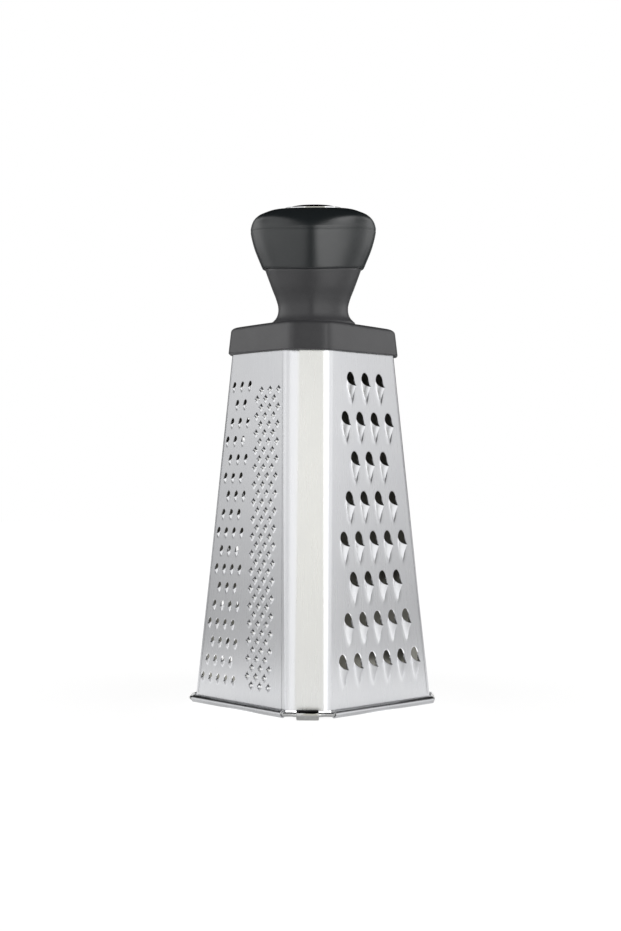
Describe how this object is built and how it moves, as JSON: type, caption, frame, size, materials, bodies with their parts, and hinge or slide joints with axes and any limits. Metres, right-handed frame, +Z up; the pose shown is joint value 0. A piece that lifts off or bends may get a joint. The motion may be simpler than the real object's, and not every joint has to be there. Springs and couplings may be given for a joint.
{
  "type": "box grater",
  "caption": "Tapered box grater of folded stainless sheet with coarse, medium, fine, rasp and slicing faces, a wired base hem and a plastic collar with a soft-grip knob.",
  "frame": {"origin": "centre of the base, on the table", "axes": "+Z up to the knob, -Y out of the coarse face, -X out of the fine and rasp face, +X out of the slicing face, +Y out of the medium face"},
  "size_m": [0.094, 0.094, 0.2398],
  "materials": {
    "sheet_steel": "satin stainless sheet",
    "wire_steel": "bright drawn stainless wire",
    "sleeve_steel": "bright steel ferrule",
    "hard_plastic": "fine moulded texture",
    "soft_grip": "soft-touch satin",
    "plated_ring": "bright plated",
    "gloss_black": "high gloss",
    "inner_plastic": "as moulded",
    "fastener_steel": "zinc plated"
  },
  "bodies": {
    "root": {"coarse_face": "sheet_steel", "medium_face": "sheet_steel", "slicer_face": "sheet_steel", "fine_rasp_face": "sheet_steel", "corner_strip_right": "sheet_steel", "corner_strip_rear": "sheet_steel", "corner_strip_left": "sheet_steel", "corner_strip_front": "sheet_steel", "seam_flange": "sheet_steel", "base_wire": "wire_steel", "wire_sleeve": "sleeve_steel", "handle_core": "hard_plastic", "knob_grip": "soft_grip", "cap_bezel": "plated_ring", "cap_insert": "gloss_black", "retainer_plate": "inner_plastic", "screw_washer": "fastener_steel", "handle_screw": "fastener_steel"}
  },
  "joints": []
}
